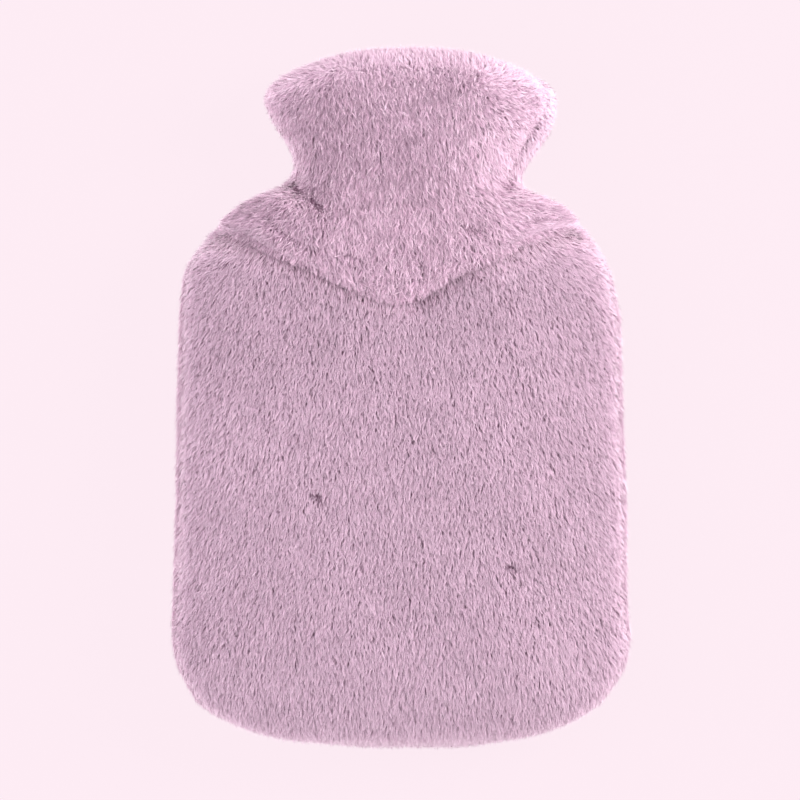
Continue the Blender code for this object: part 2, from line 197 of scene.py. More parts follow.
FLAP_FILL = (             # how far pile below the flap springs up to its edge, and starts under it
    Fill(x=-80, share=1.75, under=5.5), Fill(x=-64, share=1.7, under=5.5),
    Fill(x=-52, share=1.3, under=3.0), Fill(x=-4, share=1.3, under=3.0),
    Fill(x=6, share=1.15, under=4.0), Fill(x=13, share=0.8, under=3.0),
    Fill(x=40, share=0.8, under=3.0), Fill(x=54, share=1.75, under=5.5),
)
FILL_SPREAD = 1.6         # over which it springs up, along the cloth
HIDDEN_PILE = 5.5         # pile on the lower panel goes this far below the flap
SIDE_DENSER, SIDE_START, SIDE_FULL = 1.5, -0.7, -0.2   # more tufts where the back comes up
RIDGE_DENSER = 0.7        # and beside the ridge
HEM_TURN, HEM_NEAR = 0.6, 5.0          # how far the nap at the flap's edge turns down over it
HEM_FADE, HEM_GONE = 38.0, 60.0        # from the middle: where the edge fades into the shoulders
HEM_SPRING, OUTER_SPRING = 0.6, 0.35   # share of the hem's draw that loose pile fills, more outside
STRANDS = 3               # in a tuft
BEND, BEND_HEIGHT = 0.38, 0.66         # shares of run and height where a strand is widest and leans
HAIRS, EDGE_HAIRS = 0.2, 0.3           # share of thin long hairs, and how many more seen edge-on
HAIR_SHARE = 0.42         # of a strand's width
HAIR_LONGER, HAIR_OUT_LEAST, HAIR_OUT_MOST = 1.15, 0.2, 1.8
TUFT_ACROSS, TUFT_ALONG = 0.45, 0.7    # spread of a tuft's roots
STAND, STRAND_STAND = 0.3, 0.45        # how unevenly the tufts and their strands stand
REACH_LEAST, REACH_MOST = 0.75, 1.2    # of a tuft, as shares of its coat's reach
LENGTH_LEAST, LENGTH_MOST = 0.75, 1.15     # of a strand, as shares of its tuft's reach
WIDTH_LEAST, WIDTH_MOST = 0.7, 1.3     # of a strand, as shares of its coat's width
SHORTEST = 0.45           # share of its length that a strand keeps where the pile is pressed
PULL, ROLL = 0.35, 0.5    # how far a strand's tip strays sideways, and it rolls, in radians
CLOTH_DOWN = 0.3          # share of the cloth's own way down in the nap's
FALLS, RIGHT = np.array([0.0, -1.0, 0.0]), np.array([1.0, 0.0, 0.0])   # down the body, and across
EDGE_START, EDGE_FULL = 0.08, 0.6      # of the cloth's turn away, where the pile is seen edge-on
EDGE_SINK = 1.0           # how much closer it lies there
DROOP = 0.5               # how far a strand over an edge hangs, as a share of what is over it
UPRIGHT, RIDGE_REACH, RIDGE_MIX = 0.7, 9.0, 6.0        # shorter and mixed beside the ridge
COLLAR_LEAN = 14.0        # degrees to the right, over the collar
# Thin hairs are painted lighter, as painted light of fine fibres against the light.
PATCH_TONE, STRAND_TONE, HAIR_PAINTED_LIGHT = 0.08, 0.13, 0.10
PATCH_WAVES = (70.0, 46.0, 31.0, 19.0, 12.0)
WALK_DOWN, WALK_ACROSS = 0.7548776662466927, 0.5698402909980532   # 1/p, 1/p^2: p the plastic number
EDGE_PAINTED_LIGHT, DENT_PAINTED_SHADE = 0.60, 0.7       # painted light where the pile is seen edge-on, painted shade in a dent
RIM_PAINTED_LIGHT, RIM_START, RIM_FULL = 0.58, -5.0, 7.0        # painted light over the rim, about its crest
TOP_SHADE, TOP_LEAST = 0.12, 0.75      # darker tips by each millimetre they lie low, and the limit
TONE_ENDS, SHADE_ENDS = (0.02, 0.98), (0.001, 0.999)
BAKE_WIDTH = 0.002        # of a strand on its map
PART_LEAST, DENT_SINK = 0.15, 0.9      # least pile left in a dent, and how far it sinks
DENT_UPRIGHT, DENT_REACH = 0.5, 1.6    # strands round a dent stand up, over this many radii
SEAM_SPRING = 0.75        # how far the pile springs up over the seams, as a share of their draw
COLLAR_SEAM_SPRING = 0.45              # share of that left on the collar, where the seams show
CORNER_IN, CORNER_FULL, CORNER_OUT, CORNER_END = 22.0, 48.0, 84.0, 104.0   # the foot's corners
CORNER_SHIFT, CORNER_RUN, CORNER_PULL = 6.0, 30.0, 1.7     # and how far they are drawn in
ROOT_HEIGHT, ROOT_SPRING = 0.12, 0.65  # where strands start, as shares of loose pile and spring
STEPS, OVERHANG = 3, 5.0  # in which a strand's way on the cloth is read, and the most over an edge
FACE_TURN = 0.25          # how unevenly tufts catch the light from their sides
SOFT_NORMAL = 0.62        # share of the cloth's own direction in a strand's shading


def soft_step(value, start, full):
    share = np.clip((value - start) / (full - start), 0, 1)
    return share * share * (3 - 2 * share)


def eased(y, xs, values, reach):
    return sum(np.interp(y + reach * step, xs, values) for step in EASE_STEPS) / len(EASE_STEPS)


def column(y, name):
    rows = sorted(SECTIONS, key=lambda row: row.y)
    return eased(y, [row.y for row in rows], [getattr(row, name) for row in rows], EASE)


def flap_edge(x):
    return eased(x, [point.x for point in FLAP_EDGE], [point.y for point in FLAP_EDGE], FLAP_EASE)


def power(value, exponent):
    return np.sign(value) * np.abs(value) ** exponent


def both_round(side, end):
    return side * end / np.sqrt(side ** 2 + end ** 2 - (side * end) ** 2 + TINY)


def form(t, angle):
    """Points of the form at stations t, at angles round its section: 0 right, pi/2 front."""
    lip = np.clip((t - CREST) / LIP_ARC, 0, 1) * pi / 2
    end = np.clip((END_START - t) / END_ARC, 0, 1) * pi / 2
    reach = power(np.sin(end), SQUARENESS)
    side_y = np.clip(t, END_START, CREST) - END_SIDE * reach
    turned = LIP * (1 - np.cos(lip))
    closed = power(np.cos(end), SQUARENESS)
    left, right = column(side_y, "left") - turned, column(side_y, "right") - turned
    back, front = column(side_y, "back"), column(side_y, "front")
    seam = back + SEAM_HEIGHT * (front - back)
    across, up = power(np.cos(angle), SQUARENESS), power(np.sin(angle), SQUARENESS)
    depth = np.where(up > 0, front - seam, seam - back) - turned
    arch = ARCH * soft_step(t, ARCH_START, CREST) * (1 - np.abs(across) ** ARCH_POWER)
    bow = END_BOW * reach * (1 - np.abs(across) ** BOW_POWER)
    x = (right - left) / 2 + (right + left) / 2 * across
    y = side_y + LIP * np.sin(lip) + arch - bow
    z = np.maximum(seam + depth * np.sign(up) * both_round(np.abs(up), closed), 0)
    return np.stack(np.broadcast_arrays(x, y, z), axis=-1)


def unit(vectors):
    return vectors / np.maximum(np.linalg.norm(vectors, axis=-1, keepdims=True), TINY)


def normal(t, angle):
    t = np.clip(t, BOTTOM + 2 * SMALL, RIM - 2 * SMALL)
    along = form(t + SMALL, angle) - form(t - SMALL, angle)
    around = form(t, angle + SMALL_TURN) - form(t, angle - SMALL_TURN)
    return unit(np.cross(along, around))


def runs_of(points, axis):
    steps = np.linalg.norm(np.diff(points, axis=axis), axis=-1)
    start = np.zeros_like(np.take(steps, [0], axis=axis))
    return np.cumsum(np.concatenate([start, steps], axis=axis), axis=axis)


def read(table, row, place):
    """A table read between its rows and columns."""
    row = np.clip(row, 0, table.shape[0] - LAST_CELL)
    place = np.clip(place, 0, table.shape[1] - LAST_CELL)
    i, j = row.astype(int), place.astype(int)
    a, b = row - i, place - j
    if table.ndim == 3:
        a, b = a[..., None], b[..., None]
    upper = table[i, j] * (1 - b) + table[i, j + 1] * b
    lower = table[i + 1, j] * (1 - b) + table[i + 1, j + 1] * b
    return upper * (1 - a) + lower * a


class Sections:
    """Angles round the form for even shares of cloth across a panel, at every station."""

    def __init__(self, side):
        stations = np.linspace(BOTTOM, RIM, TABLE_ROWS)
        level = np.clip(stations, END_START, CREST)
        left = pi - np.radians(column(level, "left_seam"))
        right = np.radians(column(level, "right_seam")) + (side == BACK) * 2 * pi
        angles = left[:, None] + (right - left)[:, None] * np.linspace(0, 1, ROUND_STEPS)
        runs = runs_of(form(stations[:, None], angles), 1)
        shares = np.linspace(0, 1, TABLE_COLUMNS)
        self.lengths = runs[:, -1:] * np.ones(2)
        rows = []
        for run, angle in zip(runs, angles):
            margin = SEAM_GAP / run[-1]
            rows.append(np.interp((margin + (1 - 2 * margin) * shares) * run[-1], run, angle))
        self.angles = np.array(rows)

    def row(self, t):
        return (t - BOTTOM) / (RIM - BOTTOM) * (TABLE_ROWS - 1)

    def angle(self, t, u):
        return read(self.angles, self.row(t), u * (TABLE_COLUMNS - 1))

    def length(self, t):
        return read(self.lengths, self.row(t), np.zeros_like(t))


def off_line(x, y, x1, y1, x2, y2):
    """Way in plan to places x, y from the nearest point of a line."""
    run = np.array([x2 - x1, y2 - y1])
    share = np.clip(((x - x1) * run[0] + (y - y1) * run[1]) / (run @ run), 0, 1)
    return x - x1 - share * run[0], y - y1 - share * run[1]


def gap_to(x, y, line):
    return np.hypot(*off_line(x, y, line.x1, line.y1, line.x2, line.y2))


def falloff(distance, reach):
    return np.exp(-(distance / reach) ** 2)


def dents(x, y):
    return sum(dent.depth * falloff(gap_to(x, y, dent), dent.radius) for dent in DENTS)


def flap_station(shares, sections):
    stations = np.linspace(FLAP_HIGH, FLAP_LOW, FLAP_STEPS)[:, None]
    x = form(stations, sections.angle(*np.broadcast_arrays(stations, shares)))[..., 0]
    ahead = flap_edge(x) - stations
    return np.array([np.interp(0, ahead[:, place], stations[:, 0]) for place in range(len(shares))])


def tuck_station(u, flap):
    hidden = soft_step(np.minimum(u, 1 - u), TUCK_START, TUCK_FULL)
    return flap - TUCK_STEP + (TUCK_TOP - flap) * hidden


def rise(t, u):
    fade = 1 - soft_step(t, RISE_TOP, RISE_END)
    return FLAP_RISE * soft_step(np.minimum(u, 1 - u), RISE_START, RISE_FULL) * fade


def seam_draw(t, u, length):
    distance = np.minimum(np.minimum(u, 1 - u) * length, t - BOTTOM)
    return SEAM_DRAW * falloff(distance, SEAM_REACH)


# Each panel's lay: how far it is lifted off the form, and how far its pile is drawn in.
def yoke_lay(t, u, length, point, flap):
    draw = seam_draw(t, u, length) + HEM_DRAW * falloff(t - flap, HEM_REACH)
    return rise(t, u), draw + dents(point[..., 0], point[..., 1])


def front_lay(t, u, length, point, flap):
    pressed = YOKE_WALL + FLAP_GAP - rise(t, u)
    near = soft_step(t, flap - PRESS_START, flap - PRESS_FULL)
    hidden = soft_step(np.minimum(u, 1 - u), RISE_START, TUCK_START)
    edge = TUCKED_DRAW * falloff(t - tuck_station(u, flap), TUCKED_REACH) * hidden
    return 0.0, np.maximum(seam_draw(t, u, length), pressed * near * hidden + edge)


def back_lay(t, u, length, point, flap):
    return 0.0, seam_draw(t, u, length)


def ladder(shares, sections, marks, counts):
    """Stations of every row and column, in so many even steps from each mark to the next."""
    rows = [marks[0][None]]
    for start, stop, count in zip(marks, marks[1:], counts):
        stations = np.linspace(start, stop, RUN_STEPS)
        runs = runs_of(form(stations, sections.angle(*np.broadcast_arrays(stations, shares))), 0)
        rows.append(np.stack([
            np.interp(np.linspace(0, run[-1], count + 1)[1:], run, station)
            for run, station in zip(runs.T, stations.T)], axis=1))
    return np.concatenate(rows)


def level_seam(points, out, stations):
    """Turns the way out level along the side and bottom seams, so that front and back meet."""
    first = int(np.argmax(stations[:, 0] < LEVEL_SEAM))
    rows = [(row, 0) for row in range(first, len(points))]
    rows += [(len(points) - 1, place) for place in range(1, COLUMNS)]
    rows += [(row, COLUMNS) for row in range(len(points) - 1, first - 1, -1)]
    places = tuple(np.array(rows).T)
    run = np.gradient(points[places][:, :2], axis=0)
    level = np.stack([run[:, 1], -run[:, 0], 0 * run[:, 0]], axis=1)
    out[places] = unit(level)


# Each panel's marks: the stations between which its rows are spread evenly.
def back_marks(u, flap):
    levels = (RIM, CREST, SHOULDER + HEM_RUN, SHOULDER, SHOULDER - PRESS_FULL,
              SHOULDER - PRESS_START, BOTTOM_EDGE)
    return [np.full_like(u, level) for level in levels]


def front_marks(u, flap):
    bottom = np.full_like(u, BOTTOM_EDGE)
    return [tuck_station(u, flap), flap - PRESS_FULL, flap - PRESS_START, bottom]


def yoke_marks(u, flap):
    return [np.full_like(u, RIM), np.full_like(u, CREST), flap + HEM_RUN, flap]


class Cloth:
    """One cut piece: the level of its pile's tips, of the pile's foot and of its backing."""

    def __init__(self, side, marks, counts, wall, lay, sections, flap):
        self.side, self.flap = side, flap
        self.t = ladder(CROWDED, sections, marks(CROWDED, flap), counts)
        self.u = np.broadcast_to(CROWDED, self.t.shape)
        angle = sections.angle(self.t, self.u)
        points, out = form(self.t, angle), normal(self.t, angle)
        points[..., 2] += SEAM_LIFT * (side == FRONT)
        lift, draw = lay(self.t, self.u, sections.length(self.t), points, flap)
        points = points + out * (lift * np.ones(self.t.shape))[..., None]
        if self.t[-1, 0] < END_START:
            level_seam(points, out, self.t)
        depth = wall - COLLAR_THIN * soft_step(self.t, THIN_START, THIN_FULL)
        self.pile = np.maximum(depth - draw, LEAST_WALL)
        self.back = points - out * depth[..., None]
        self.foot = self.back + out * (self.pile * UNDER)[..., None]
        self.tips = self.back + out * self.pile[..., None]
        self.down, self.across = np.gradient(self.tips, axis=(0, 1))
        self.out = unit(np.cross(self.across, -self.down)) * side
        # How far loose pile stands above the solid's level: over the body's seams at first.
        seam = seam_draw(self.t, self.u, sections.length(self.t))
        collar = (1 - COLLAR_SEAM_SPRING) * soft_step(self.t, SHOULDER, THIN_START)
        width = np.abs(self.tips[..., 0] - CORNER_SHIFT)
        corner = soft_step(width, CORNER_IN, CORNER_FULL)
        corner = corner * (1 - soft_step(width, CORNER_OUT, CORNER_END))
        corner = corner * soft_step(END_START - self.t, 0, CORNER_RUN)
        self.spring = SEAM_SPRING * seam * (1 - collar) * (1 - CORNER_PULL * corner)
        self.follow = np.ones_like(seam)
        self.run = runs_of(self.back, 1)[..., None], runs_of(self.back, 0)[..., None]


# ---------------------------------------------------------------- materials
MIX_FIRST, MIX_SECOND, MIX_RESULT = 6, 7, 2            # a mix node's sockets for colours
TONE_RANGE = 0.6
LIGHT, LIGHT_START, LIGHT_SHARE = (0.930, 0.790, 0.865, 1.0), 0.6, 0.5   # of the lightest strands, where random tone and painted light lift them
PILE_ROUGHNESS, FOOT_ROUGH, TIP_SMOOTHER = 0.85, 0.9, -0.22
PILE_SPECULAR = 0.25
SHEEN, SHEEN_ROUGHNESS, SHEEN_TINT = 0.9, 0.45, (1.0, 0.86, 0.94, 1.0)
DENSE_ROUGHNESS = 0.95
GRAIN_SCALE, GRAIN_DETAIL, GRAIN_DARK, GRAIN_LIGHT = 900.0, 3.0, 0.3, 0.75
GRAIN_DEPTH, GRAIN_STRENGTH = 0.0006, 0.8
KNIT_ROUGHNESS = 0.9
RIBS_ACROSS, RIBS_ALONG, RIB_DISTORTION = 230.0, 170.0, 0.6
WORN_SCALE, WORN_DETAIL, WORN_SHARE = 60.0, 4.0, 0.5
STITCH_DARK, STITCH_LIGHT = 0.15, 0.9
STITCH_DEPTH, STITCH_STRENGTH = 0.0004, 0.7
# Strand colours from foot to tip: darker towards the foot, painted shade within the pile.
PILE_FOOT, PILE_MIDDLE, PILE_TIP = (
    (0.360, 0.192, 0.290, 1.0), (0.545, 0.350, 0.475, 1.0), (0.735, 0.550, 0.665, 1.0))
YOKE_FOOT, YOKE_MIDDLE, YOKE_TIP = (
    (0.270, 0.130, 0.205, 1.0), (0.470, 0.268, 0.392, 1.0), (0.765, 0.545, 0.678, 1.0))
# The foot's colours, darker than the strands: painted shade between them.
DARK, DARKER = (0.400, 0.225, 0.325, 1.0), (0.320, 0.165, 0.255, 1.0)
YOKE_DARK, YOKE_DARKER = (0.360, 0.190, 0.290, 1.0), (0.240, 0.110, 0.185, 1.0)
KNIT_LIGHT, KNIT_DARK = (0.610, 0.430, 0.555, 1.0), (0.400, 0.250, 0.350, 1.0)


def nodes_of(material):
    tree = material.node_tree
    return tree.nodes, tree.links, tree.nodes["Principled BSDF"]


def new_material(name, roughness, colour):
    material = bpy.data.materials.new(name)
    material.use_nodes = True
    material.diffuse_color = colour
    shader = material.node_tree.nodes["Principled BSDF"]
    shader.inputs["Base Color"].default_value = colour
    shader.inputs["Roughness"].default_value = roughness
    shader.inputs["Metallic"].default_value = 0.0
    return material


def maths(nodes, links, operation, *values):
    node = nodes.new("ShaderNodeMath")
    node.operation = operation
    for socket, value in zip(node.inputs, values):
        if isinstance(value, (int, float)):
            socket.default_value = value
        else:
            links.new(value, socket)
    return node.outputs[0]


def ramp(nodes, links, value, stops):
    node = nodes.new("ShaderNodeValToRGB")
    elements = node.color_ramp.elements
    while len(elements) < len(stops):
        elements.new(0.5)
    for element, (place, colour) in zip(elements, stops):
        element.position, element.color = place, colour
    links.new(value, node.inputs["Fac"])
    return node.outputs["Color"]


def bump(nodes, links, height, distance, strength, shader):
    node = nodes.new("ShaderNodeBump")
    node.inputs["Distance"].default_value = distance
    node.inputs["Strength"].default_value = strength
    links.new(height, node.inputs["Height"])
    links.new(node.outputs["Normal"], shader.inputs["Normal"])


def attribute(nodes, name):
    node = nodes.new("ShaderNodeAttribute")
    node.attribute_name = name
    return node.outputs["Fac"]


def noise(nodes, links, scale, detail, coordinates):
    node = nodes.new("ShaderNodeTexNoise")
    node.inputs["Scale"].default_value = scale
    node.inputs["Detail"].default_value = detail
    links.new(coordinates, node.inputs["Vector"])
    return node.outputs["Fac"]


def place_of(nodes):
    return nodes.new("ShaderNodeTexCoord").outputs["Object"]


def pile_material(name, foot, middle, tip):
    """A strand's colour from its foot to its tip, darker towards the foot as painted shade within
    the pile, and lighter or darker by tuft with random tone and painted light and shade.
    """
    material = new_material(name, PILE_ROUGHNESS, middle)
    nodes, links, shader = nodes_of(material)
    along = ramp(nodes, links, attribute(nodes, "shade"), ((0.0, foot), (0.5, middle), (1.0, tip)))
    tone = maths(nodes, links, "MULTIPLY_ADD", attribute(nodes, "tone"), TONE_RANGE,
                 1 - TONE_RANGE / 2)
    tinted = nodes.new("ShaderNodeVectorMath")
    tinted.operation = "SCALE"
    links.new(along, tinted.inputs[0])
    links.new(tone, tinted.inputs["Scale"])
    share = maths(nodes, links, "MULTIPLY_ADD", attribute(nodes, "tone"),
                  LIGHT_SHARE / (1 - LIGHT_START), -LIGHT_SHARE * LIGHT_START / (1 - LIGHT_START))
    share.node.use_clamp = True
    lit = nodes.new("ShaderNodeMix")
    lit.data_type = "RGBA"
    links.new(share, lit.inputs["Factor"])
    links.new(tinted.outputs[0], lit.inputs[MIX_FIRST])
    lit.inputs[MIX_SECOND].default_value = LIGHT
    links.new(lit.outputs[MIX_RESULT], shader.inputs["Base Color"])
    rough = maths(nodes, links, "MULTIPLY_ADD", attribute(nodes, "shade"), TIP_SMOOTHER, FOOT_ROUGH)
    links.new(rough, shader.inputs["Roughness"])
    shader.inputs["Specular IOR Level"].default_value = PILE_SPECULAR
    shader.inputs["Sheen Weight"].default_value = SHEEN
    shader.inputs["Sheen Roughness"].default_value = SHEEN_ROUGHNESS
    shader.inputs["Sheen Tint"].default_value = SHEEN_TINT
    return material


def foot_material(name, dark, light):
    """The dense foot of the pile, seen only between the strands, coloured darker as painted shade.
    """
    material = new_material(name, DENSE_ROUGHNESS, dark)
    nodes, links, shader = nodes_of(material)
    grain = noise(nodes, links, GRAIN_SCALE, GRAIN_DETAIL, place_of(nodes))
    mottled = ramp(nodes, links, grain, ((GRAIN_DARK, dark), (GRAIN_LIGHT, light)))
    links.new(mottled, shader.inputs["Base Color"])
    bump(nodes, links, grain, GRAIN_DEPTH, GRAIN_STRENGTH, shader)
    return material


def knit_material(name, dark, light):
    """The knitted backing, seen inside the collar: ribs of small stitches."""
    material = new_material(name, KNIT_ROUGHNESS, light)
    nodes, links, shader = nodes_of(material)
    cloth = nodes.new("ShaderNodeUVMap")
    cloth.uv_map = "cloth"
    waves = []
    for direction, scale in (("X", RIBS_ACROSS), ("Y", RIBS_ALONG)):
        wave = nodes.new("ShaderNodeTexWave")
        wave.bands_direction = direction
        wave.inputs["Scale"].default_value = scale
        wave.inputs["Distortion"].default_value = RIB_DISTORTION
        links.new(cloth.outputs["UV"], wave.inputs["Vector"])
        waves.append(wave.outputs["Fac"])
    stitch = maths(nodes, links, "MULTIPLY", *waves)
    worn = noise(nodes, links, WORN_SCALE, WORN_DETAIL, place_of(nodes))
    mixed = maths(nodes, links, "ADD", stitch, maths(nodes, links, "MULTIPLY", worn, WORN_SHARE))
    knitted = ramp(nodes, links, mixed, ((STITCH_DARK, dark), (STITCH_LIGHT, light)))
    links.new(knitted, shader.inputs["Base Color"])
    bump(nodes, links, stitch, STITCH_DEPTH, STITCH_STRENGTH, shader)
    return material


# ---------------------------------------------------------------- meshes
def new_mesh(name, points, faces, uvs, materials, face_materials=None):
    """A smooth mesh from points in millimetres and rows of corner indices; uvs are by point."""
    mesh = bpy.data.meshes.new(name)
    corners = faces.ravel()
    mesh.vertices.add(len(points))
    mesh.vertices.foreach_set("co", (points * MM).astype(np.float32).ravel())
    mesh.loops.add(len(corners))
    mesh.loops.foreach_set("vertex_index", corners.astype(np.int32))
    mesh.polygons.add(len(faces))
    starts = np.arange(len(faces)) * faces.shape[1]
    mesh.polygons.foreach_set("loop_start", starts.astype(np.int32))
    for material in materials:
        mesh.materials.append(material)
    if face_materials is not None:
        mesh.polygons.foreach_set("material_index", face_materials.astype(np.int32))
    mesh.update(calc_edges=True)
    mesh.shade_smooth()
    for map_name, values in uvs.items():
        layer = mesh.uv_layers.new(name=map_name)
        layer.uv.foreach_set("vector", values[corners].astype(np.float32).ravel())
    piece = bpy.data.objects.new(name, mesh)
    scene.collection.objects.link(piece)
    return piece


def sheet_piece(name, cloth, foot, knit):
    """The cloth itself: the dense foot of the pile outside, the knitted backing inside."""
    rows, places = cloth.t.shape
    half = rows * places
    index = np.arange(half).reshape(rows, places)
    quads = np.stack([index[:-1, :-1], index[1:, :-1], index[1:, 1:], index[:-1, 1:]], -1)
    quads = quads.reshape(-1, 4)
    ring = np.concatenate([index[0, :-1], index[:-1, -1], index[-1, :0:-1], index[:0:-1, 0]])
    after = np.roll(ring, -1)
    rim = np.stack([ring, after, after + half, ring + half], -1)
    faces = np.concatenate([quads, quads[:, ::-1] + half, rim])
    if cloth.side == BACK:
        faces = faces[:, ::-1]
    kinds = np.concatenate([np.zeros(len(quads)), np.ones(len(quads)), np.zeros(len(rim))])
    run = np.concatenate([cloth.run[0], cloth.run[1]], axis=-1).reshape(-1, 2) * MM
    points = np.concatenate([cloth.foot.reshape(-1, 3), cloth.back.reshape(-1, 3)])
    return new_mesh(name, points, faces, {"cloth": np.tile(run, (2, 1))}, [foot, knit], kinds)


# ---------------------------------------------------------------- the nap
def away_from_ridge(x, y):
    """Angle in plan away from the ridge where the nap parts, and the distance to it."""
    best, gap = np.zeros(x.shape + (2,)), np.full(x.shape, np.inf)
    for start, stop in zip(RIDGE, RIDGE[1:]):
        off = np.stack(off_line(x, y, start.x, start.y, stop.x, stop.y), -1)
        far = np.linalg.norm(off, axis=-1)
        best = np.where((far < gap)[..., None], off, best)
        gap = np.minimum(gap, far)
    return np.arctan2(best[..., 0], -best[..., 1]), gap


def nap(x, y, side):
    """Angle of the nap in plan: 0 runs down the body, more runs to the right."""
    fans = (-LEFT_FAN, 0, RIGHT_FAN) if side == FRONT else (-BACK_FAN, 0, BACK_FAN)
    fan = np.radians(np.interp(x, (-HALF_WIDTH, 0, HALF_WIDTH), fans))
    ridge, _ = away_from_ridge(x, y)
    turn = np.radians(SHOULDER_TURN) * np.sign(x)
    turn = turn * soft_step(np.abs(x), SHOULDER_START, SHOULDER_FULL)
    turn = turn * falloff(y - SHOULDER_Y, SHOULDER_SPAN)
    collar = soft_step(y, FAN_LOW, FAN_HIGH)
    lean = np.radians(COLLAR_LEAN) * (side == FRONT)
    return fan * (1 - collar) + (ridge + lean) * collar + turn * (side == FRONT)


def evenly(count, weights):
    """Places on a grid of cells, spread evenly by weight: a low-discrepancy walk."""
    walk = np.arange(count)
    a, b = (0.5 + walk * WALK_DOWN) % 1, (0.5 + walk * WALK_ACROSS) % 1
    by_row = np.concatenate([[0], np.cumsum(weights.sum(1))])
    row = np.interp(a * by_row[-1], by_row, np.arange(len(by_row)))
    cells = row.astype(int).clip(0, len(weights) - 1)
    place = np.empty(count)
    for cell in np.unique(cells):
        across = np.concatenate([[0], np.cumsum(weights[cell])])
        mine = cells == cell
        place[mine] = np.interp(b[mine] * across[-1], across, np.arange(len(across)))
    return row, place


def patches(points, rng):
    """A smooth brushed unevenness, from a few crossing waves."""
    total = 0
    for length in PATCH_WAVES:
        wave = rng.normal(size=3)
        phase = rng.uniform(0, 2 * pi)
        total = total + np.sin(points @ wave / np.linalg.norm(wave) * 2 * pi / length + phase)
    return total / len(PATCH_WAVES)


def moved(cloth, row, place, way):
    """Grid place that lies a way along the cloth from another, and what falls off its edge."""
    left_over = 0
    for _ in range(STEPS):
        down, across = read(cloth.down, row, place), read(cloth.across, row, place)
        a, b, c = (down ** 2).sum(-1), (down * across).sum(-1), (across ** 2).sum(-1)
        p, q = (down * way).sum(-1) / STEPS, (across * way).sum(-1) / STEPS
        scale = np.maximum(a * c - b * b, TINY)
        next_row, next_place = row + (c * p - b * q) / scale, place + (a * q - b * p) / scale
        row = np.clip(next_row, 0, cloth.t.shape[0] - 1)
        place = np.clip(next_place, 0, cloth.t.shape[1] - 1)
        over = (next_row - row)[..., None] * down + (next_place - place)[..., None] * across
        left_over = left_over + over
    far = np.linalg.norm(left_over, axis=-1, keepdims=True)
    return row, place, left_over / np.maximum(far, TINY) * np.minimum(far, OVERHANG)


def tuft_places(cloth, count, shown):
    """Grid places of the tufts, spread evenly over the cloth and in order from left to right."""
    cells = np.linalg.norm(np.cross(cloth.down, cloth.across), axis=-1)
    cells = (cells[:-1, :-1] + cells[1:, :-1] + cells[:-1, 1:] + cells[1:, 1:]) / 4
    row, place = evenly(count, cells * shown(cloth)[:-1, :-1])
    order = np.argsort(read(cloth.tips, row, place)[:, 0])
    return row[order], place[order]


Tufts = namedtuple("Tufts", "row place along beside reach stand part edge_on tone")


def lay_tufts(cloth, coat, shown, rng):
    """Where the tufts stand, which way they lie, how long and upright they are, and their tone:
    random unevenness with painted light and shade.
    """
    count = coat.tufts
    row, place = tuft_places(cloth, count, shown)
    tuft, out = read(cloth.tips, row, place), unit(read(cloth.out, row, place))
    x, y = tuft[:, 0], tuft[:, 1]
    level = FALLS - (out @ FALLS)[:, None] * out
    down = unit(level + CLOTH_DOWN * unit(read(cloth.down, row, place)))
    down = unit(down - (down * out).sum(-1)[:, None] * out)
    right = np.cross(out, down) if cloth.side == FRONT else RIGHT - out[:, :1] * out
    beside_ridge = falloff(away_from_ridge(x, y)[1], RIDGE_REACH) * (out[:, 2] > 0)
    mixed = tuft[:, :2] + rng.normal(0, RIDGE_MIX, (count, 2)) * beside_ridge[:, None]
    angle = nap(mixed[:, 0], mixed[:, 1], cloth.side) * read(cloth.follow, row, place)
    angle = angle + coat.wander * rng.normal(size=count)
    along = unit(down * np.cos(angle)[:, None] + right * np.sin(angle)[:, None])
    reach = coat.reach * rng.uniform(REACH_LEAST, REACH_MOST, count)
    reach = reach * (1 - (1 - UPRIGHT) * beside_ridge)
    stand = rng.normal(0, STAND, count)
    part = np.ones(count)
    for mark in PILE_DENTS if cloth.side == FRONT else ():
        gap = gap_to(x, y, mark)
        part = part - mark.share * falloff(gap, mark.radius)
        reach = reach * (1 - DENT_UPRIGHT * mark.share * falloff(gap, DENT_REACH * mark.radius))
    part = np.clip(part, PART_LEAST, 1)
    edge_on = soft_step(1 - np.abs(out[:, 2]), EDGE_START, EDGE_FULL)
    tone = 0.5 + coat.tone * rng.normal(size=count) + PATCH_TONE * patches(tuft, rng)
    # Painted light where the pile is seen edge-on, painted shade in the dents.
    tone = tone + EDGE_PAINTED_LIGHT * edge_on - DENT_PAINTED_SHADE * (1 - part)
    # Painted light over the rim.
    over_rim = soft_step(read(cloth.t, row, place), CREST + RIM_START, CREST + RIM_FULL)
    tone = tone + RIM_PAINTED_LIGHT * over_rim
    # Painted light and shade in broad patches on the front.
    for light_patch in PAINTED_LIGHT_AND_SHADE if cloth.side == FRONT else ():
        tone = tone + light_patch.tone * falloff(np.hypot(x - light_patch.x, y - light_patch.y), light_patch.radius)
    return Tufts(row, place, along, np.cross(along, out), reach, stand, part, edge_on, tone)


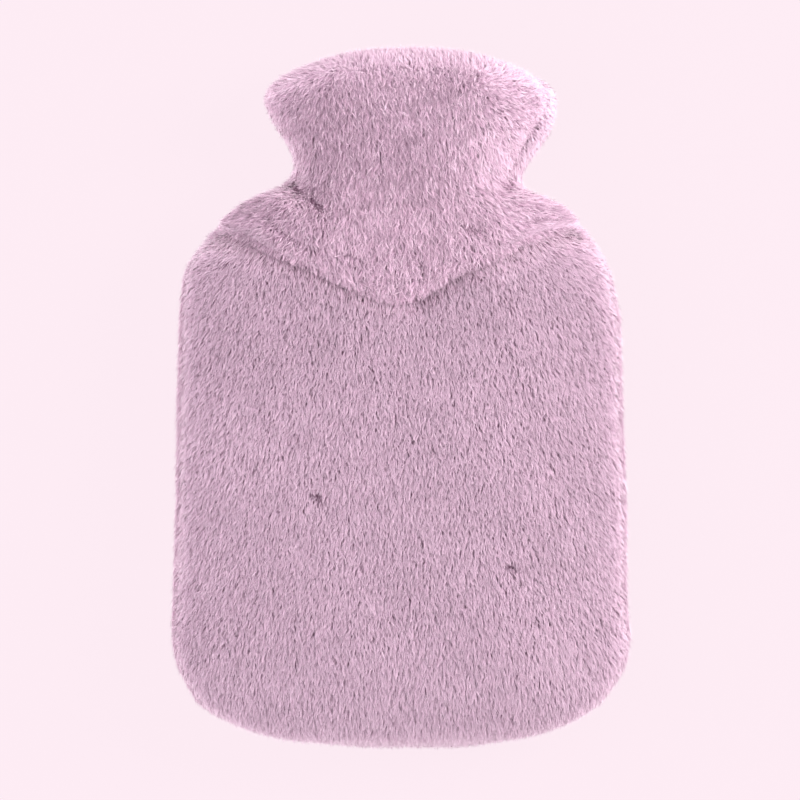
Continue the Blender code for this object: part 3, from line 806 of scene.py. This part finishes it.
def lay_strands(cloth, coat, tufts, rng):
    """Every tuft's strands: root, both sides of the bend and tip, with how they are shaded."""
    shape = (coat.tufts, STRANDS)
    part, edge_on = tufts.part[:, None], tufts.edge_on[:, None]
    along, beside = tufts.along[:, None], tufts.beside[:, None]
    aside = rng.normal(0, TUFT_ACROSS * coat.spread, shape)[..., None] * beside
    ahead = rng.normal(0, TUFT_ALONG * coat.spread, shape)[..., None] * along
    rows = np.broadcast_to(tufts.row[:, None], shape)
    places = np.broadcast_to(tufts.place[:, None], shape)
    rows, places, _ = moved(cloth, rows, places, aside + ahead)
    hair = rng.random(shape) < HAIRS + EDGE_HAIRS * edge_on
    length = tufts.reach[:, None] * rng.uniform(LENGTH_LEAST, LENGTH_MOST, shape)
    length = length * np.where(hair, HAIR_LONGER, 1.0)
    pile = read(cloth.pile, rows, places) * (1 - UNDER)
    loose = pile + read(cloth.spring, rows, places)
    length = length * np.clip(loose / (PANEL_WALL * (1 - UNDER)), SHORTEST, 1) * part
    pull = rng.normal(0, PULL, shape)[..., None] * beside - coat.clump * aside
    root_out = unit(read(cloth.out, rows, places))
    lift = ROOT_HEIGHT * pile + ROOT_SPRING * (loose - pile)
    root = read(cloth.foot, rows, places) + lift[..., None] * root_out
    tip_row, tip_place, over = moved(cloth, rows, places, along * length[..., None] + pull)
    tip_out = unit(read(cloth.out, tip_row, tip_place))
    above = tufts.stand[:, None] + rng.normal(0, STRAND_STAND, shape)
    above = above + read(cloth.spring, tip_row, tip_place) - EDGE_SINK * edge_on
    above = above + np.where(hair, rng.uniform(HAIR_OUT_LEAST, HAIR_OUT_MOST, shape), 0)
    above = above - (1 - part) * pile * DENT_SINK - DROOP * np.linalg.norm(over, axis=-1)
    tip = read(cloth.tips, tip_row, tip_place) + over + tip_out * above[..., None]

    rise_up = np.abs(((tip - root) * root_out).sum(-1))
    bend = root + (tip - root) * BEND
    bend = bend + root_out * ((BEND_HEIGHT - BEND) * rise_up)[..., None]
    roll = rng.normal(0, ROLL, shape)[..., None]
    wide = np.where(hair, HAIR_SHARE, rng.uniform(WIDTH_LEAST, WIDTH_MOST, shape))
    wide = coat.width / 2 * wide[..., None]
    flat = unit(np.cross(unit(tip - bend), root_out))
    flat = flat * np.cos(roll) + root_out * np.sin(roll)
    points = np.stack([root, bend - flat * wide, bend + flat * wide, tip], axis=2)
    face = unit(np.cross(flat, tip - bend)) * (1 - SOFT_NORMAL)
    face = face + FACE_TURN * rng.normal(size=(coat.tufts, 1, 1)) * beside
    lower, upper = root_out * SOFT_NORMAL + face, tip_out * SOFT_NORMAL + face
    normals = unit(np.stack([lower, lower, lower, upper], axis=2))
    top = np.clip(1 + TOP_SHADE * above, TOP_LEAST, 1)
    shade = np.stack([np.full(shape, ROOT_HEIGHT)] + [BEND_HEIGHT * top] * 2 + [top], axis=2)
    tone = tufts.tone[:, None] + STRAND_TONE * rng.normal(size=shape)
    # Thin hairs painted lighter: painted light.
    tone = np.clip(tone + np.where(hair, HAIR_PAINTED_LIGHT, 0), *TONE_ENDS)
    return points, normals, shade, tone[..., None] + np.zeros(4)


def fur(names, cloth, coat, seed, material, shown):
    """The pile of one cut piece, as joined strands in tufts, one mesh for each name."""
    rng = np.random.default_rng(seed)
    points, normals, shade, tone = lay_strands(cloth, coat, lay_tufts(cloth, coat, shown, rng), rng)
    beside = tone + np.array([0, -1, 1, 0]) * BAKE_WIDTH
    bake = np.stack([beside, np.clip(shade, *SHADE_ENDS)], axis=-1)
    pieces = []
    for name, chunk in zip(names, np.array_split(np.arange(coat.tufts), len(names))):
        first = np.arange(len(chunk) * STRANDS)[:, None] * 4
        faces = np.concatenate([first + [0, 2, 1], first + [1, 2, 3]])
        piece = new_mesh(name, points[chunk].reshape(-1, 3), faces,
                         {"OFBake": bake[chunk].reshape(-1, 2)}, [material])
        for label, values in (("shade", shade), ("tone", tone)):
            layer = piece.data.attributes.new(label, "FLOAT", "POINT")
            layer.data.foreach_set("value", values[chunk].astype(np.float32).ravel())
        shading = normals[chunk].reshape(-1, 3).astype(np.float32)
        piece.data.normals_split_custom_set_from_vertices(shading)
        pieces.append(piece)
    return pieces


def below_flap(cloth):
    """The lower panel has pile only where the flap doesn't lie on it."""
    return (cloth.t < cloth.flap + HIDDEN_PILE) * 1.0


def more_at_sides(cloth):
    """The back has denser pile where it comes up at the sides."""
    return 1 + SIDE_DENSER * soft_step(cloth.out[..., 2], SIDE_START, SIDE_FULL)


def more_at_ridge(cloth):
    """The collar has denser pile beside its ridge, where the nap parts."""
    gap = away_from_ridge(cloth.tips[..., 0], cloth.tips[..., 1])[1]
    return 1 + RIDGE_DENSER * falloff(gap, RIDGE_REACH)


def fill_of(cloth, name):
    xs, values = [row.x for row in FLAP_FILL], [getattr(row, name) for row in FLAP_FILL]
    return np.interp(cloth.tips[..., 0], xs, values)


def spring_below_flap(cloth):
    """Loose pile of the lower panel, which springs up again just below the flap's edge."""
    below = cloth.flap + fill_of(cloth, "under") - cloth.t
    pressed = soft_step(cloth.t, cloth.flap - PRESS_START, cloth.flap - PRESS_FULL)
    pressed = pressed * soft_step(below, 0, FILL_SPREAD)
    pressed = pressed * soft_step(np.minimum(cloth.u, 1 - cloth.u), RISE_START, TUCK_START)
    return fill_of(cloth, "share") * pressed * (YOKE_WALL + FLAP_GAP - FLAP_RISE)


def outer_share(cloth):
    return soft_step(np.abs(cloth.tips[..., 0]), HEM_FADE, HEM_GONE)


def spring_at_hem(cloth):
    """Loose pile of the flap that fills its drawn-in hem, more of it towards the shoulders."""
    share = HEM_SPRING + OUTER_SPRING * outer_share(cloth)
    return share * HEM_DRAW * falloff(cloth.t - cloth.flap, HEM_REACH)


def turn_at_hem(cloth):
    """How much of its sideways lean the nap loses where it runs down over the flap's edge."""
    return HEM_TURN * (1 - outer_share(cloth)) * falloff(cloth.t - cloth.flap, HEM_NEAR)


# ---------------------------------------------------------------- build
front_sections, back_sections = Sections(FRONT), Sections(BACK)
flap = flap_station(CROWDED, front_sections)
front_cloth = Cloth(FRONT, front_marks, (TUCK_ROWS, PRESS_ROWS, BODY_ROWS),
                    PANEL_WALL, front_lay, front_sections, flap)
yoke_cloth = Cloth(FRONT, yoke_marks, (LIP_ROWS, NECK_ROWS, HEM_ROWS),
                   YOKE_WALL, yoke_lay, front_sections, flap)
back_cloth = Cloth(BACK, back_marks,
                   (LIP_ROWS, NECK_ROWS, HEM_ROWS, SHOULDER_ROWS, PRESS_ROWS, BODY_ROWS),
                   PANEL_WALL, back_lay, back_sections, flap)
front_cloth.spring += spring_below_flap(front_cloth)
yoke_cloth.spring += spring_at_hem(yoke_cloth)
yoke_cloth.follow -= turn_at_hem(yoke_cloth)

pile = pile_material("plush_pile", PILE_FOOT, PILE_MIDDLE, PILE_TIP)
yoke_pile = pile_material("yoke_plush_pile", YOKE_FOOT, YOKE_MIDDLE, YOKE_TIP)
foot = foot_material("pile_foot", DARKER, DARK)
yoke_foot = foot_material("yoke_pile_foot", YOKE_DARKER, YOKE_DARK)
knit = knit_material("knitted_backing", KNIT_DARK, KNIT_LIGHT)

# A coat has so many tufts. Strands have a width and a reach. A tuft's roots are spread, its tips
# drawn together by clump, and tufts differ in direction by wander and in lightness by tone.
Coat = namedtuple("Coat", "tufts width reach spread clump wander tone")
Panel = namedtuple("Panel", "name node slot cloth furs coat seed foot pile shown flat area")
PANELS = (
    Panel(name="front_cloth", node="front_panel", slot="plush_front", cloth=front_cloth,
          furs=("front_pile_left", "front_pile_middle", "front_pile_right"),
          coat=Coat(tufts=80000, width=0.45, reach=3.9, spread=1.0, clump=0.3, wander=0.32,
                    tone=0.09),
          seed=11, foot=foot, pile=pile, shown=below_flap, flat=(0.29, 0.27), area=0.066),
    Panel(name="yoke_cloth", node="yoke_collar", slot="plush_yoke", cloth=yoke_cloth,
          furs=("yoke_pile",),
          coat=Coat(tufts=27000, width=0.56, reach=7.0, spread=1.3, clump=1.1, wander=0.40,
                    tone=0.38),
          seed=12, foot=yoke_foot, pile=yoke_pile, shown=more_at_ridge, flat=(0.25, 0.15),
          area=0.0165),
    Panel(name="back_cloth", node="back_panel", slot="plush_back", cloth=back_cloth,
          furs=("back_pile_left", "back_pile_right"),
          coat=Coat(tufts=48000, width=0.8, reach=5.0, spread=1.0, clump=0.3, wander=0.3,
                    tone=0.09),
          seed=13, foot=foot, pile=pile, shown=more_at_sides, flat=(0.27, 0.37), area=0.085),
)
for panel in PANELS:
    sheet = sheet_piece(panel.name, panel.cloth, panel.foot, knit)
    furs = fur(panel.furs, panel.cloth, panel.coat, panel.seed, panel.pile, panel.shown)
    for piece in [sheet] + furs:
        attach(piece, "root")
    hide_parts(panel.node)


# ---------------------------------------------------------------- the studio
def add_sky():
    world = bpy.data.worlds.new("studio")
    scene.world = world
    world.use_nodes = True
    nodes, links = world.node_tree.nodes, world.node_tree.links
    split = nodes.new("ShaderNodeSeparateXYZ")
    links.new(nodes.new("ShaderNodeTexCoord").outputs["Generated"], split.inputs[0])
    height = maths(nodes, links, "ABSOLUTE", split.outputs["Z"])
    sky = nodes["Background"]
    links.new(ramp(nodes, links, height, ((0.0, HORIZON), (ZENITH_FROM, ZENITH))),
              sky.inputs["Color"])
    sky.inputs["Strength"].default_value = WORLD_STRENGTH


def add_lamp(lamp):
    light = bpy.data.lights.new(lamp.name, "AREA")
    light.size, light.energy, light.color = lamp.size, lamp.energy, lamp.colour
    holder = bpy.data.objects.new(lamp.name, light)
    holder.location = (lamp.x, lamp.y, lamp.z)
    tilt = np.arctan2(np.hypot(lamp.x, lamp.y), lamp.z - OUTLINE_HEIGHT)
    holder.rotation_euler = (tilt, 0, np.arctan2(lamp.x, -lamp.y))
    scene.collection.objects.link(holder)


def add_floor():
    half = FLOOR_SIZE / 2
    mesh = bpy.data.meshes.new("floor")
    mesh.from_pydata([(-half, -half, -FLOOR_DROP), (half, -half, -FLOOR_DROP),
                      (half, half, -FLOOR_DROP), (-half, half, -FLOOR_DROP)], [], [(0, 1, 2, 3)])
    floor = bpy.data.objects.new("floor", mesh)
    scene.collection.objects.link(floor)
    paper = new_material("floor_paper", FLOOR_ROUGHNESS, FLOOR_COLOUR)
    shader = nodes_of(paper)[2]
    shader.inputs["Specular IOR Level"].default_value = 0.0
    shader.inputs["Emission Color"].default_value = FLOOR_GLOW
    shader.inputs["Emission Strength"].default_value = FLOOR_GLOW_STRENGTH
    mesh.materials.append(paper)


add_sky()
for lamp in LAMPS:
    add_lamp(lamp)
add_floor()
